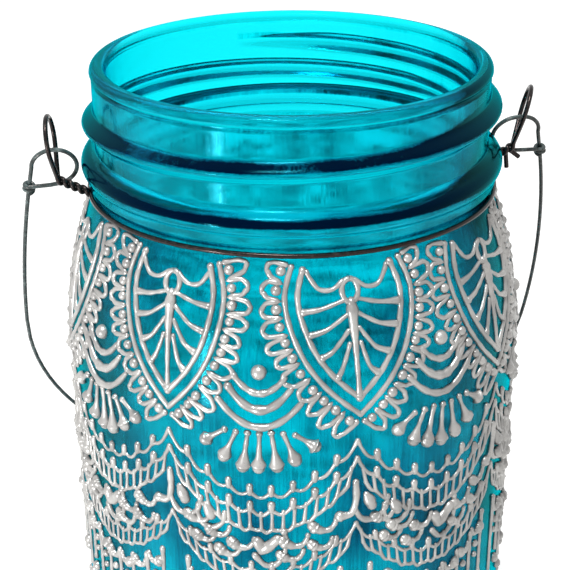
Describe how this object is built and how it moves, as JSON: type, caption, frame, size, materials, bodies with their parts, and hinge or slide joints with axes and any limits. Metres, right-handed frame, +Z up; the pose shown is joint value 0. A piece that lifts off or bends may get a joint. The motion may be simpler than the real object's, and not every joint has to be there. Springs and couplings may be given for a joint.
{
  "type": "mason jar lantern",
  "caption": "Stained glass screw-neck jar lantern with raised line ornament, twisted wire collar, swinging wire bail and a tealight inside.",
  "frame": {"origin": "centre of the jar's standing ring, on the table plane", "axes": "+Z up the jar's axis, +X through the right-hand wire ear and along the bail's turning line, -Y the side away from the resting bail"},
  "size_m": [0.1225, 0.0981, 0.1715],
  "materials": {
    "teal_glass": "clear soda glass with a streaky translucent teal stain",
    "silver_paste": "raised pearly silver outliner paste, satin",
    "dark_wire": "dark annealed iron wire, dull sheen",
    "cup_aluminium": "thin pressed aluminium",
    "wax": "white paraffin wax, slightly translucent",
    "wick_cotton": "braided cotton",
    "tin_plate": "tinned steel"
  },
  "bodies": {
    "jar": {"jar": "teal_glass", "petal_relief": "silver_paste", "swag_relief": "silver_paste", "band_relief": "silver_paste", "collar_wire": "dark_wire"},
    "bail": {"bail": "dark_wire"},
    "tealight": {"tealight_cup": "cup_aluminium", "tealight_wax": "wax", "tealight_wick": "wick_cotton", "wick_foot": "tin_plate"}
  },
  "joints": [
    {"name": "bail_swing", "type": "hinge", "parent": "jar", "child": "bail", "pos_m": [0, 0, 0.1549], "axis": [1, 0, 0], "range_deg": [0, 309]},
    {"name": "tealight_lift", "type": "slide", "parent": "jar", "child": "tealight", "axis": [0, 0, 1], "range_m": [0, 0.19]}
  ]
}
